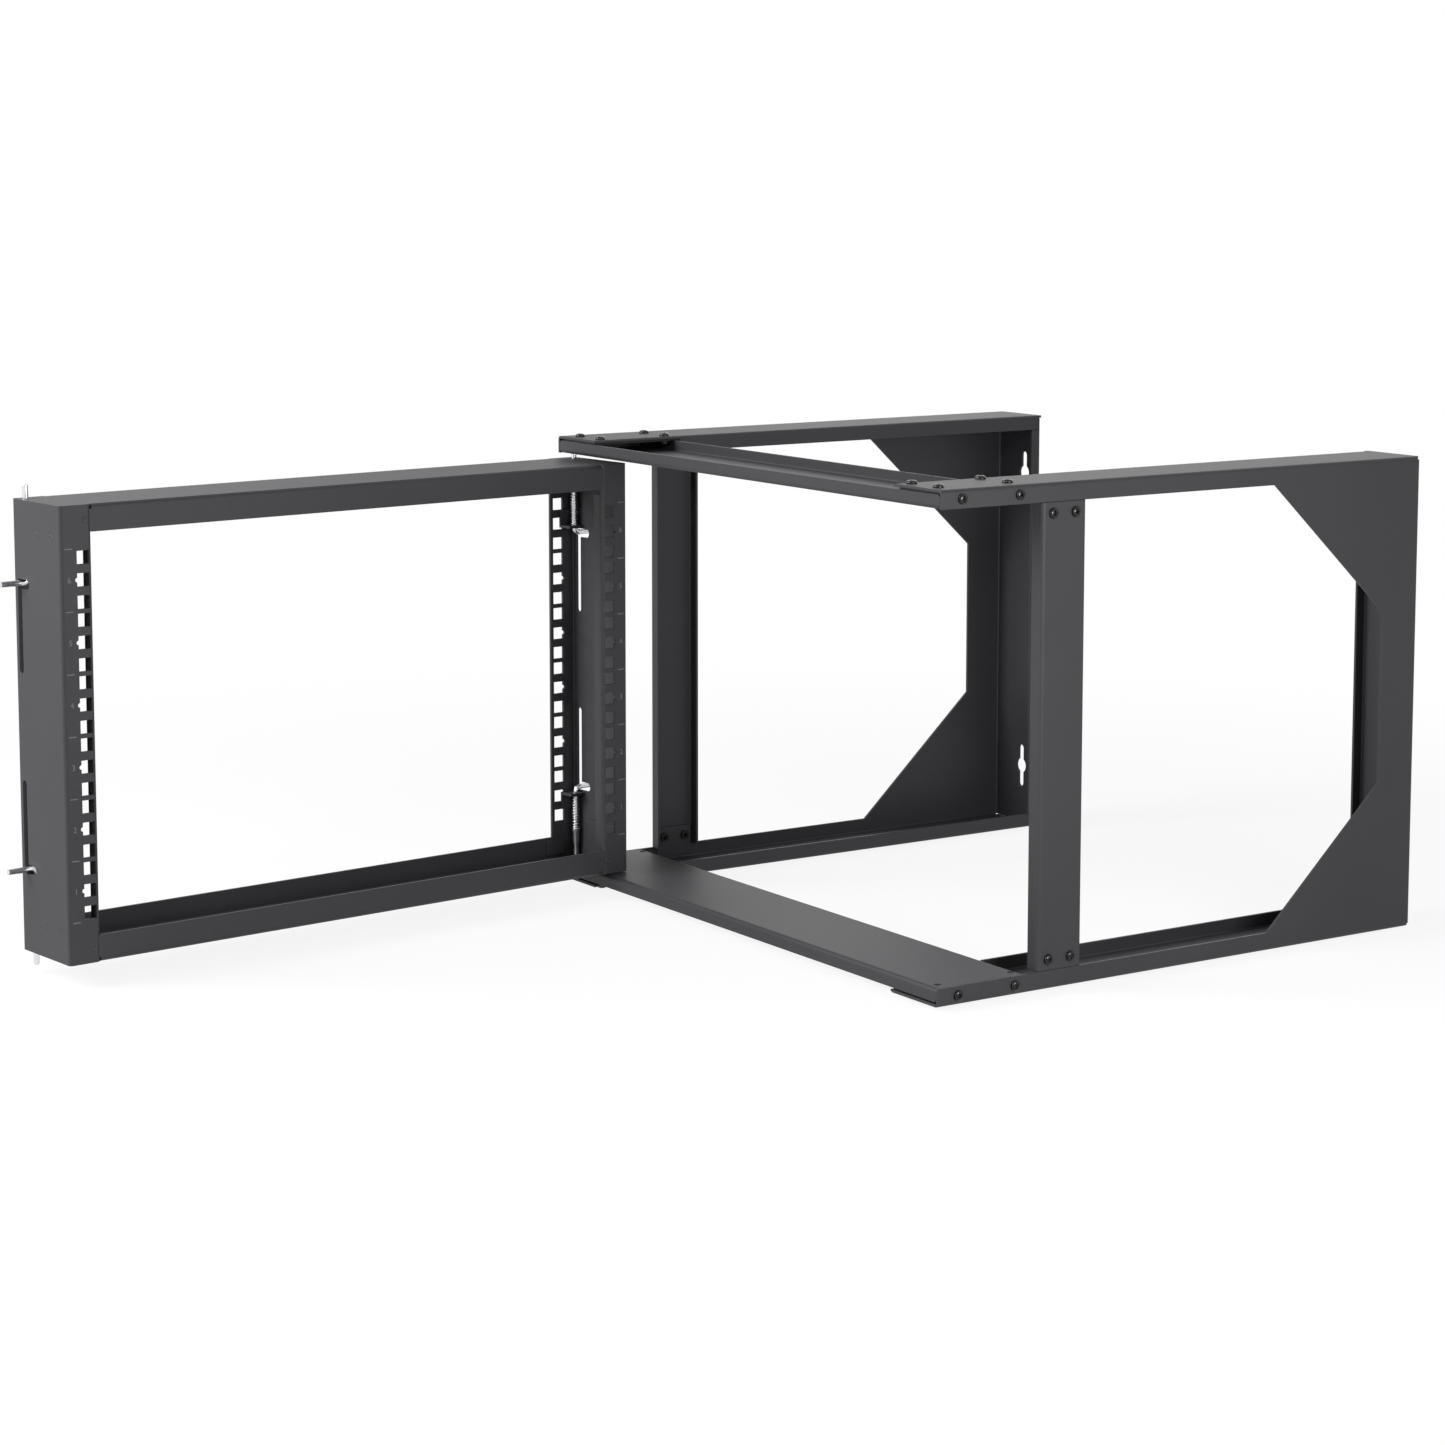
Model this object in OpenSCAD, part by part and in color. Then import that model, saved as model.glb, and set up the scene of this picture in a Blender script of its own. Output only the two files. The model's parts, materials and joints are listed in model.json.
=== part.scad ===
// Wall mount open frame rack: two folded side frames, four cross pieces and a
// swing-out equipment frame that hangs on spring pins at the left front corner.
// The origin is the middle of the four wall keyholes, on the wall plane.
// +Y goes to the wall, +Z is up, +X is right for a person who faces the wall.

/* [Base] */
// Height in rack units of 44.45 mm
rack_units = 6; // [5:1:12]
// Height of the base beyond its rack units
height_extra = 93.3; // [80:0.1:120]
// Depth from the wall to the front edges
body_d = 450; // [350:5:600]
// Sheet thickness
sheet_t = 2; // [1.6:0.1:2.2]
// Height of the bars of the side frames over and under the window
arm_h = 13.5; // [13:0.5:18]
// Width of the folded flanges of the side frames
flange_w = 56; // [54:1:70]
// Depth of the return lips on the top and bottom flanges
lip_h = 12; // [6:1:12]
// Depth of the return lip on the rear flange
rear_lip = 10; // [6:1:16]
// Width of the solid strip behind the side window
window_back = 36; // [30:1:60]
// Gap between the equipment frame and the side walls
side_gap = 3; // [2:0.5:8]
// Length of the slanted window corner along the depth
slant_y = 110; // [60:5:130]
// Height of the slanted window corner
slant_z = 101; // [60:1:115]

/* [Posts] */
// Distance from the front edge to the post
post_y = 87; // [84:1:110]
// Width of the post
post_w = 40; // [36:1:50]
// Depth of the post's front flange
post_lip_front = 11; // [8:1:16]
// Depth of the post's rear flange
post_lip_rear = 10; // [8:1:16]
// Height of the ears behind the posts
ear_h = 16; // [14:1:20]

/* [Crossbars] */
// Depth of the crossbars
bar_d = 77; // [76:1:82]
// Rounding at the ends of the crossbar flanges
bar_corner = 3; // [2:0.5:8]
// Gap between the crossbar flanges and the flanges of the side frames
bar_lift = 1.4; // [0.3:0.1:2]
// Distance of the front pin holes from the front edge
pin_y_front = 8; // [7.5:0.5:9]
// Distance of the rear pin holes from the rear edge of the crossbar
pin_rear_edge = 5; // [5:0.5:9]
// Distance of the outer flange screws from the side
screw_out = 17.5; // [17:0.5:22]
// Distance of the inner flange screws from the flange's inner edge
screw_edge = 8; // [7:0.5:12]
// Distance of the front flange screws from the front edge
screw_front = 10; // [10:0.5:12]
// Distance of the rear flange screws from the rear edge of the crossbar
screw_rear = 7; // [7:0.5:10]
// Distance of the front side screws from the front edge
side_screw_front = 17.5; // [17:0.5:24]
// Distance of the rear side screws from the rear edge of the crossbar
side_screw_rear = 9.5; // [9:0.5:14]

/* [Wall keyholes] */
// Distance of the keyholes from the outer side
key_side = 36; // [30:1:42]
// Distance of the keyholes from the top and bottom
key_inset = 51; // [45:1:60]
// Width of the keyhole slot
key_slot_w = 6.7; // [5:0.1:8]
// Length of the keyhole slot from end to end
key_slot_l = 37; // [28:1:40]
// Diameter of the keyhole's round middle
key_round = 13; // [10:0.5:16]

/* [Swing frame] */
// How far the equipment frame stands open in degrees
open_angle = 84; // [60:1:120]
// Distance from the middle of a hole column to the upright's inner edge
hole_edge = 7.55; // [7.4:0.05:8.5]
// Depth of the equipment frame
swing_d = 70; // [60:1:76]
// Flange width of the uprights
upright_w = 25; // [24:0.5:27]
// Flange height of the rails
rail_h = 19.5; // [16:0.5:24]
// Height of the rails' end tabs
rail_tab_h = 35; // [30:1:36]
// Length of the rails' ears behind the uprights
rail_ear_l = 11; // [8:1:13]
// Height of the rails' ears behind the uprights
rail_ear_h = 12; // [8:1:14]
// Depth of the uprights' front return lip
upright_lip = 10; // [6:1:14]
// Gap between the lower crossbar and the equipment frame
gap_low = 1; // [0.5:0.5:2]
// Gap between the upper crossbar and the equipment frame
gap_high = 4; // [3:0.5:5]
// Distance between the two columns of equipment holes
column_spacing = 465.1; // [465.1:0.1:465.9]
// Side of the square equipment holes
cage_hole = 9.5; // [9:0.1:9.8]
// Radius of the half-round notch beside the middle holes
notch_r = 1.6; // [1:0.1:2]

/* [Spring pins] */
// Diameter of the pin rod
rod_dia = 4.5; // [4:0.1:5]
// Distance of the pin axis from the side of the equipment frame
pin_inset = 6; // [6:0.1:6.5]
// Distance of the pin axis from the rear face of the equipment frame
pin_back = 9; // [8:0.5:12]
// How far the pin tip stands out of the equipment frame
tip_out = 11; // [9:0.5:11]
// Distance of the handle from the end of the equipment frame
handle_z = 60; // [60:1:70]
// How far the handle stands out of the side
handle_out = 15; // [8:1:25]
// Outside diameter of the spring and the collar's rim
spring_dia = 7.4; // [6.8:0.1:7.5]
// Wire diameter of the spring
spring_wire = 1.2; // [0.8:0.1:1.3]
// Turns of the spring
spring_turns = 10; // [6:1:11]
// Width of the guide lug
guide_w = 13; // [11:0.5:16]
// Height of the guide's foot
guide_foot = 12; // [8:1:14]
// Length of the collar
collar_l = 12; // [8:1:14]
// Outside diameter of the collar below its rim
collar_dia = 5.8; // [5.6:0.1:6.6]
// Thickness of the collar's rim that carries the spring
collar_rim = 1.2; // [0.8:0.1:2]
// Length of the wall slot for the handle
slot_l = 68; // [40:1:80]
// Width of the wall slot for the handle
slot_w = 5.7; // [5.4:0.1:6.5]
// Length of the side notch that locks the handle
jog_l = 11; // [8:1:16]
// Height of the side notch that locks the handle
jog_h = 7; // [6:0.5:9]

/* [Screws] */
// Thread diameter of all screws
screw_dia = 4; // [3.5:0.5:5]
// Head diameter of all screws
screw_head = 7.8; // [7:0.2:9]
// Height of the nuts
nut_h = 2; // [1.6:0.1:2]
// Outside radius of the nuts
nut_r = 3.7; // [3.4:0.1:4.1]
// Head height of all screws
screw_head_h = 2.6; // [2.2:0.1:3.4]

/* [Fits] */
// Gap between two sheets that touch
sheet_gap = 0.1; // [0.05:0.05:0.2]
// Radial gap between a pin and the sheet holes around it
pin_gap = 0.35; // [0.2:0.05:0.5]
// Radial gap between the rod and its collar
collar_gap = 0.05; // [0.03:0.01:0.1]
// Radial gap between a screw and the sheet holes around it
screw_gap = 0.25; // [0.15:0.05:0.4]
// Radial gap between screw thread and nut
thread_gap = 0.05; // [0.03:0.01:0.1]

/* [Hidden] */

unit_h = 44.45;
unit_holes = [unit_h / 7, unit_h / 2, unit_h * 6 / 7];
body_h = rack_units * unit_h + height_extra;
swing_w = column_spacing + 2 * (upright_w - hole_edge);
body_w = swing_w + 2 * (sheet_t + side_gap);
half_w = body_w / 2;
half_h = body_h / 2;
window_z = half_h - arm_h;
bend_in = 1;
bend_out = bend_in + sheet_t;
bend_steps = 4;
front_y = -body_d;
flange_x = half_w - flange_w;
round_fn = 24;
small_fn = 16;
eps = 0.01;

hinge_x = -swing_w / 2 + pin_inset;
hinge_y = front_y + pin_y_front;
pin_y_rear = bar_d - pin_rear_edge;
swing_h = 2 * window_z - gap_low - gap_high;
swing_z = -window_z + gap_low;
free_u = swing_w - 2 * pin_inset;
far_u = swing_w - pin_inset;
rod_r = rod_dia / 2;
collar_z = 14;
spring_z = collar_z + collar_l;
guide_z = handle_z - 6;
slot_z = handle_z - 3;
face_v = swing_d - pin_back;
screw_len = 2 * sheet_t + nut_h + 0.5;
bar_end = half_w - sheet_t - 0.15;
bar_low = -half_h + sheet_t + sheet_gap;
flange_low = bar_low + bar_lift;
bar_top = -window_z;
screw_x = [half_w - screw_out, flange_x + screw_edge];
screw_y = [screw_front, bar_d - screw_rear];
side_screw_y = [side_screw_front, bar_d - side_screw_rear];
side_screw_z = half_h - arm_h / 2;
post_screw_y = [post_y + post_w / 4, post_y + post_w * 3 / 4];
post_screw_z = window_z - ear_h / 2;
ear_top = window_z + arm_h * 0.6;
key_x = half_w - key_side;
key_z = half_h - key_inset;

// Turns a path into a sheet profile with rounded bends; material lies left of the path.
function left_of(d) = [-d[1], d[0]];
function way(a, b) = (b - a) / norm(b - a);
function spin(v, a) = [v[0] * cos(a) - v[1] * sin(a), v[0] * sin(a) + v[1] * cos(a)];
function side_of(a, b) = a[0] * b[1] - a[1] * b[0] > 0 ? 1 : -1;
function bend_points(p, d0, d1, extra) =
    let (s = side_of(d0, d1),
        r_ref = s > 0 ? bend_out : bend_in,
        r_use = r_ref - s * extra,
        c = p - d0 * r_ref + s * left_of(d0) * r_ref)
    [for (k = [0 : bend_steps]) c + r_use * spin(-s * left_of(d0), s * 90 * k / bend_steps)];
function sheet_side(p, extra) =
    let (n = len(p) - 1,
        first = way(p[0], p[1]),
        last = way(p[n - 1], p[n]))
    concat([p[0] + left_of(first) * extra],
        [for (i = [1 : n - 1]) each bend_points(p[i], way(p[i - 1], p[i]), way(p[i], p[i + 1]), extra)],
        [p[n] + left_of(last) * extra]);
function back_to_front(v) = [for (i = [len(v) - 1 : -1 : 0]) v[i]];
module sheet_profile(p) {
    polygon(concat(sheet_side(p, 0), back_to_front(sheet_side(p, sheet_t))));
}

// A box given by two corners
module span_box(a, b) {
    translate(a) cube(b - a);
}

// Flat profile in X and Z, from y0 to y1
module along_y(y0, y1) {
    translate([0, y1, 0]) rotate([90, 0, 0]) linear_extrude(y1 - y0) children();
}

// Flat profile in Y and Z, from x0 to x1
module along_x(x0, x1) {
    translate([x0, 0, 0]) rotate([90, 0, 90]) linear_extrude(x1 - x0) children();
}

// Flat profile in X and Y, from z0 to z1
module along_z(z0, z1) {
    translate([0, 0, z0]) linear_extrude(z1 - z0) children();
}

// Round hole along Y, X or Z, through both sides of a point
module hole_y(r, l) {
    rotate([90, 0, 0]) cylinder(r = r, h = l, center = true, $fn = round_fn);
}
module hole_x(r, l) {
    rotate([0, 90, 0]) cylinder(r = r, h = l, center = true, $fn = small_fn);
}
module hole_z(r, l) {
    cylinder(r = r, h = l, center = true, $fn = small_fn);
}

// The open part of a side wall: open to the front, slanted at the rear
module window_shape() {
    yb = -window_back;
    ys = yb - slant_y;
    zs = window_z - slant_z;
    polygon([[front_y - 1, -window_z], [ys, -window_z], [yb, -zs], [yb, zs],
        [ys, window_z], [front_y - 1, window_z]]);
}

module keyhole() {
    hole_y(key_round / 2, 4 * sheet_t);
    for (s = [-1, 1])
        translate([0, 0, s * (key_slot_l - key_slot_w) / 2]) hole_y(key_slot_w / 2, 4 * sheet_t);
    cube([key_slot_w, 4 * sheet_t, key_slot_l - key_slot_w], center = true);
}

// One side frame with its outer face on the right
module side_frame() {
    y_turn = -bend_out;
    difference() {
        union() {
            along_y(front_y, y_turn)
                sheet_profile([[flange_x, -half_h + lip_h], [flange_x, -half_h], [half_w, -half_h],
                    [half_w, half_h], [flange_x, half_h], [flange_x, half_h - lip_h]]);
            difference() {
                along_z(-half_h + sheet_t + 0.4, half_h - sheet_t - 0.4)
                    sheet_profile([[half_w, y_turn - window_back * 0.55], [half_w, 0], [flange_x, 0],
                        [flange_x, -rear_lip]]);
                // The rear lip butts against the upper and lower lips.
                for (s = [-1, 1])
                    span_box([flange_x - 1, -rear_lip - 3, s > 0 ? half_h - lip_h - 0.5 : -half_h],
                        [flange_x + bend_out, -sheet_t - 0.5, s > 0 ? half_h : -half_h + lip_h + 0.5]);
            }
            for (s = [-1, 1])
                span_box([flange_x, y_turn - 1, s > 0 ? half_h - sheet_t : -half_h],
                    [half_w - bend_out, 0, s > 0 ? half_h : -half_h + sheet_t]);
        }
        along_x(half_w - sheet_t - 2, half_w + 1) window_shape();
        // The lips stand clear of the crossbars.
        for (s = [-1, 1]) {
            z_in = half_h - sheet_t;
            z_out = half_h - lip_h - 1;
            span_box([flange_x - 1, front_y - 1, s > 0 ? z_out : -z_in],
                [flange_x + bend_out, front_y + bar_d + 3, s > 0 ? z_in : -z_out]);
        }
        for (z = [-key_z, key_z])
            translate([key_x, 0, z]) keyhole();
        for (x = screw_x, y = screw_y, z = [-half_h, half_h])
            translate([x, front_y + y, z]) hole_z(screw_dia / 2 + screw_gap, 3 * sheet_t);
        for (y = side_screw_y, z = [-side_screw_z, side_screw_z])
            translate([half_w, front_y + y, z]) hole_x(screw_dia / 2 + screw_gap, 3 * sheet_t);
    }
    // Joggled ears behind the post take the post screws.
    for (s = [-1, 1]) {
        x1 = half_w - sheet_t;
        difference() {
            union() {
                ear_box(x1 - sheet_t - sheet_gap, x1 - sheet_gap, window_z - ear_h, ear_top, s);
                ear_box(x1 - sheet_t - sheet_gap, x1 + 0.5, window_z + 1, ear_top, s);
            }
            for (y = post_screw_y)
                translate([x1 - sheet_t, front_y + y, s * post_screw_z])
                    hole_x(screw_dia / 2 + screw_gap, 4 * sheet_t);
        }
    }
}

module ear_box(x0, x1, z0, z1, s) {
    y0 = front_y + post_y + sheet_t + bend_in + 0.5;
    y1 = front_y + post_y + post_w - sheet_t - bend_in - 0.5;
    span_box([x0, y0, s > 0 ? z0 : -z1], [x1, y1, s > 0 ? z1 : -z0]);
}

module post() {
    y0 = front_y + post_y;
    y1 = y0 + post_w;
    zp = window_z - 0.3;
    difference() {
        along_z(-zp, zp)
            sheet_profile([[half_w - post_lip_front, y0], [half_w, y0], [half_w, y1],
                [half_w - post_lip_rear, y1]]);
        for (y = post_screw_y, z = [-post_screw_z, post_screw_z])
            translate([half_w, front_y + y, z]) hole_x(screw_dia / 2 + screw_gap, 3 * sheet_t);
    }
}

// The rounded ends of a crossbar flange are cut with this shape.
module corner_cutter(s) {
    along_y(front_y - 1, front_y + bar_d + 1)
        difference() {
            translate([s > 0 ? bar_end - bar_corner : -bar_end - 1, flange_low - 1])
                square([bar_corner + 1, bar_corner + 1]);
            translate([s * (bar_end - bar_corner), flange_low + bar_corner])
                circle(r = bar_corner, $fn = round_fn);
        }
}

// Lower crossbar; the upper one is its mirror image.
module crossbar() {
    pin_x = swing_w / 2 - pin_inset;
    difference() {
        union() {
            difference() {
                along_x(-bar_end, bar_end)
                    sheet_profile([[front_y + bar_d, flange_low], [front_y + bar_d, bar_top],
                        [front_y, bar_top], [front_y, flange_low]]);
                for (s = [-1, 1]) corner_cutter(s);
            }
            for (s = [-1, 1]) crossbar_end(s);
        }
        for (x = [-pin_x, pin_x], y = [pin_y_front, pin_y_rear]) {
            translate([x, front_y + y, bar_top]) hole_z(rod_r + pin_gap, 3 * sheet_t);
            translate([x, front_y + y, bar_low]) hole_z(rod_r + 1.75, 2.4 * sheet_t);
        }
        for (s = [-1, 1], x = screw_x, y = screw_y)
            translate([s * x, front_y + y, bar_low]) hole_z(screw_dia / 2 + screw_gap, 3 * sheet_t);
        for (s = [-1, 1], y = side_screw_y) {
            translate([s * bar_end, front_y + y, -side_screw_z])
                hole_x(screw_dia / 2 + screw_gap, 3 * sheet_t);
            translate([s * (bar_end - sheet_t - 2), front_y + y, bar_low + (sheet_t + bend_in) / 2])
                cube([4, 2 * nut_r + 0.8, sheet_t + bend_in + 0.6], center = true);
        }
    }
}

// Folded end of a crossbar: a tab down and a return inward for the screws
module crossbar_end(s) {
    y0 = front_y + sheet_t + 0.6;
    y1 = front_y + bar_d - sheet_t - 0.6;
    mirror([s > 0 ? 0 : 1, 0, 0])
        along_y(y0, y1)
            sheet_profile([[flange_x + 2 * sheet_t, bar_low], [bar_end, bar_low],
                [bar_end, bar_top - sheet_t / 2]]);
}

// The place of the equipment frame: its own u and v axes start at the hinge axis.
module swing_place() {
    translate([hinge_x, hinge_y, swing_z]) rotate([0, 0, -open_angle]) children();
}

// A corner of the equipment frame: top or bottom, hinge side or free side
module at_corner(free, top) {
    translate([free ? free_u : 0, 0, top ? swing_h : 0])
        mirror([free ? 1 : 0, 0, 0])
            mirror([0, 0, top ? 1 : 0])
                children();
}

// Upright with its wall on the hinge side
module upright() {
    u0 = -pin_inset;
    u1 = u0 + upright_w;
    hole_u = upright_w - hole_edge - pin_inset;
    mid_z = swing_h / 2;
    difference() {
        along_z(0, swing_h)
            sheet_profile([[u1, face_v - upright_lip], [u1, face_v], [u0, face_v],
                [u0, -pin_back], [u1, -pin_back]]);
        // The return lip stops short of the rails.
        for (z = [-1, swing_h - rail_h - 4])
            span_box([u1 - bend_out, face_v - upright_lip - 1, z],
                [u1 + 1, face_v - sheet_t, z + rail_h + 5]);
        for (k = [0 : rack_units - 1]) {
            zu = mid_z + (k - rack_units / 2) * unit_h;
            for (dz = unit_holes)
                span_box([hole_u - cage_hole / 2, -pin_back - 1, zu + dz - cage_hole / 2],
                    [hole_u + cage_hole / 2, face_v + 1, zu + dz + cage_hole / 2]);
            translate([hole_u - cage_hole / 2, swing_d / 2 - pin_back, zu + unit_h / 2])
                rotate([90, 0, 0])
                    cylinder(r = notch_r, h = swing_d + 2, center = true, $fn = small_fn);
        }
        for (top = [false, true])
            translate([0, 0, top ? swing_h : 0]) mirror([0, 0, top ? 1 : 0]) handle_slot();
    }
}

// Slot in the wall of an upright for the handle of a pin, with its side notch
module handle_slot() {
    r = slot_w / 2;
    x0 = -pin_inset - 1;
    x1 = -pin_inset + sheet_t + 0.5;
    along_x(x0, x1) {
        translate([-r, slot_z]) square([slot_w, slot_l - r]);
        translate([0, slot_z + slot_l - r]) circle(r = r, $fn = small_fn);
        translate([0, slot_z]) square([r + jog_l - jog_h / 2, jog_h]);
        translate([r + jog_l - jog_h / 2, slot_z + jog_h / 2]) circle(r = jog_h / 2, $fn = small_fn);
    }
}

// Upper rail; the lower one is its mirror image.
module rail() {
    u0 = -pin_inset + sheet_t + sheet_gap;
    u1 = -pin_inset + upright_w + sheet_gap;
    v0 = -pin_back + sheet_t + sheet_gap;
    v1 = face_v - sheet_t - sheet_gap;
    mid_u = free_u / 2;
    difference() {
        union() {
            along_x(u1, 2 * mid_u - u1)
                sheet_profile([[face_v, swing_h - rail_h], [face_v, swing_h],
                    [-pin_back, swing_h], [-pin_back, swing_h - rail_h]]);
            span_box([u0 + bend_in, v0, swing_h - sheet_t], [2 * mid_u - u0 - bend_in, v1, swing_h]);
            span_box([u0, v0 + bend_in, swing_h - sheet_t], [2 * mid_u - u0, v1 - bend_in, swing_h]);
            for (m = [0, 1])
                translate([m * 2 * mid_u, 0, 0]) mirror([m, 0, 0]) {
                    // End tab against the wall of the upright
                    span_box([u0, swing_d / 5, swing_h - rail_tab_h], [u0 + sheet_t, v1 - 2, swing_h - sheet_t / 2]);
                    // Joggled ears behind the front and rear flanges of the upright
                    span_box([u1 - rail_ear_l, v1 - sheet_t, swing_h - 5 - rail_ear_h], [u1 + 7, v1, swing_h - 5]);
                    span_box([u1 + 1, v1 - sheet_t, swing_h - 5 - rail_ear_h], [u1 + 7, v1 + 0.6, swing_h - 5]);
                    span_box([u1 - rail_ear_l, v0, swing_h - 5 - rail_ear_h], [u1 + 7, v0 + sheet_t, swing_h - 5]);
                    span_box([u1 + 1, v0 - 0.6, swing_h - 5 - rail_ear_h], [u1 + 7, v0 + sheet_t, swing_h - 5]);
                }
        }
        for (u = [0, 2 * mid_u])
            translate([u, 0, swing_h]) hole_z(rod_r + pin_gap, 4 * sheet_t);
    }
}

// Lug that guides a pin and backs its spring, with a foot on the rear flange
module guide() {
    u0 = -pin_inset + bend_out + sheet_gap;
    v0 = -pin_back + sheet_t + sheet_gap;
    difference() {
        union() {
            span_box([u0, v0, guide_z], [u0 + guide_w, pin_back - sheet_t, guide_z + sheet_t]);
            span_box([u0, v0, guide_z - guide_foot], [u0 + guide_w, v0 + 1.6, guide_z + sheet_t]);
        }
        translate([0, 0, guide_z]) hole_z(rod_r + pin_gap, 4 * sheet_t);
    }
}

// Bent rod with a tip below and a handle that leaves through the wall slot
module pin() {
    bend = 4;
    tip = 1;
    translate([0, 0, -tip_out + tip])
        cylinder(r = rod_r, h = handle_z - bend + tip_out - tip, $fn = round_fn);
    translate([0, 0, -tip_out])
        cylinder(r1 = rod_r - 0.8, r2 = rod_r, h = tip, $fn = round_fn);
    translate([-bend, 0, handle_z - bend])
        rotate([90, 0, 0])
            rotate_extrude(angle = 90, $fn = round_fn)
                translate([bend, 0]) circle(r = rod_r, $fn = round_fn);
    translate([-bend, 0, handle_z])
        rotate([0, -90, 0])
            cylinder(r = rod_r, h = pin_inset + handle_out - bend, $fn = round_fn);
}

module collar() {
    difference() {
        union() {
            translate([0, 0, collar_z]) cylinder(d = collar_dia, h = collar_l, $fn = round_fn);
            translate([0, 0, spring_z - collar_rim])
                cylinder(d = spring_dia, h = collar_rim, $fn = round_fn);
        }
        translate([0, 0, collar_z]) cylinder(r = rod_r + collar_gap, h = 3 * collar_l,
            center = true, $fn = round_fn);
    }
}

// Coil spring between collar and guide
function coil_ring(a, z, r, w) =
    [for (q = [45 : 90 : 315])
        [(r + w * cos(q)) * cos(a), (r + w * cos(q)) * sin(a), z + w * sin(q)]];
module spring() {
    steps = 10;
    w = spring_wire / 2;
    r = (spring_dia - spring_wire) / 2;
    z0 = spring_z + w + 0.05;
    z1 = guide_z - w - 0.05;
    n = steps * spring_turns;
    points = [for (i = [0 : n]) each coil_ring(360 * i / steps, z0 + (z1 - z0) * i / n, r, w)];
    sides = [for (i = [0 : n - 1], k = [0 : 3], h = [0, 1])
        let (a = 4 * i + k, b = 4 * i + (k + 1) % 4)
        h == 0 ? [a, b, b + 4] : [a, b + 4, a + 4]];
    ends = [[0, 3, 2], [0, 2, 1], [4 * n, 4 * n + 1, 4 * n + 2], [4 * n, 4 * n + 2, 4 * n + 3]];
    polyhedron(points = points, faces = [for (f = concat(sides, ends)) [f[0], f[2], f[1]]]);
}

// Pan head screw; the head sits on the plane z = 0 and the thread goes down.
module screw() {
    r = screw_head / 2;
    h = screw_head_h;
    difference() {
        rotate_extrude($fn = small_fn)
            polygon([[0, -screw_len], [screw_dia / 2 - thread_gap, -screw_len],
                [screw_dia / 2 - thread_gap, 0], [r, 0], [r, h * 0.35], [r * 0.68, h * 0.88],
                [0, h]]);
        for (a = [0, 90])
            rotate([0, 0, a]) translate([0, 0, h]) cube([r, r / 4, h], center = true);
    }
}

module nut() {
    difference() {
        cylinder(r = nut_r, h = nut_h, $fn = small_fn);
        cylinder(r = screw_dia / 2, h = 6 * nut_h, center = true, $fn = small_fn);
    }
}

// Children with their head side up, placed on the screw places of top or bottom
module at_flange_screws(top) {
    for (s = [-1, 1], x = screw_x, y = screw_y)
        translate([s * x, front_y + y, top ? half_h : -half_h])
            rotate([top ? 0 : 180, 0, 0]) children();
}

module at_side_screws() {
    for (s = [-1, 1], y = side_screw_y, z = [-side_screw_z, side_screw_z])
        translate([s * half_w, front_y + y, z]) rotate([0, s * 90, 0]) children();
}

module at_post_screws() {
    for (s = [-1, 1], y = post_screw_y, z = [-post_screw_z, post_screw_z])
        translate([s * half_w, front_y + y, z]) rotate([0, s * 90, 0]) children();
}

module side_frame_right() { color("#2b2b2e") side_frame(); }
module side_frame_left() { color("#2b2b2e") mirror([1, 0, 0]) side_frame(); }
module post_right() { color("#2b2b2e") post(); }
module post_left() { color("#2b2b2e") mirror([1, 0, 0]) post(); }
module bottom_crossbar() { color("#2b2b2e") crossbar(); }
module top_crossbar() { color("#2b2b2e") mirror([0, 0, 1]) crossbar(); }
module swing_upright_hinge() { color("#2b2b2e") swing_place() upright(); }
module swing_upright_free() {
    color("#2b2b2e") swing_place() translate([free_u, 0, 0]) mirror([1, 0, 0]) upright();
}
module swing_top_rail() { color("#2b2b2e") swing_place() rail(); }
module swing_bottom_rail() {
    color("#2b2b2e") swing_place() translate([0, 0, swing_h]) mirror([0, 0, 1]) rail();
}
module pin_hinge_top() { color("#b9bcc0") swing_place() at_corner(false, true) pin(); }
module pin_hinge_bottom() { color("#b9bcc0") swing_place() at_corner(false, false) pin(); }
module pin_free_top() { color("#b9bcc0") swing_place() at_corner(true, true) pin(); }
module pin_free_bottom() { color("#b9bcc0") swing_place() at_corner(true, false) pin(); }
module collar_hinge_top() { color("#a9acb0") swing_place() at_corner(false, true) collar(); }
module collar_hinge_bottom() { color("#a9acb0") swing_place() at_corner(false, false) collar(); }
module collar_free_top() { color("#a9acb0") swing_place() at_corner(true, true) collar(); }
module collar_free_bottom() { color("#a9acb0") swing_place() at_corner(true, false) collar(); }
module spring_hinge_top() { color("#c4c6c9") swing_place() at_corner(false, true) spring(); }
module spring_hinge_bottom() { color("#c4c6c9") swing_place() at_corner(false, false) spring(); }
module spring_free_top() { color("#c4c6c9") swing_place() at_corner(true, true) spring(); }
module spring_free_bottom() { color("#c4c6c9") swing_place() at_corner(true, false) spring(); }
module guide_hinge_top() { color("#2b2b2e") swing_place() at_corner(false, true) guide(); }
module guide_hinge_bottom() { color("#2b2b2e") swing_place() at_corner(false, false) guide(); }
module guide_free_top() { color("#2b2b2e") swing_place() at_corner(true, true) guide(); }
module guide_free_bottom() { color("#2b2b2e") swing_place() at_corner(true, false) guide(); }
module top_screws() { color("#1c1c1e") at_flange_screws(true) screw(); }
module bottom_screws() { color("#1c1c1e") at_flange_screws(false) screw(); }
module side_screws() { color("#1c1c1e") at_side_screws() screw(); }
module post_screws() { color("#1c1c1e") at_post_screws() screw(); }
module crossbar_nuts() {
    color("#8f9296") {
        for (top = [false, true])
            at_flange_screws(top) translate([0, 0, -2 * sheet_t - sheet_gap - 0.05 - nut_h]) nut();
        at_side_screws() translate([0, 0, -2 * sheet_t - 0.2 - nut_h]) nut();
    }
}
module post_nuts() {
    color("#8f9296") at_post_screws() translate([0, 0, -2 * sheet_t - sheet_gap - 0.05 - nut_h]) nut();
}

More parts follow.
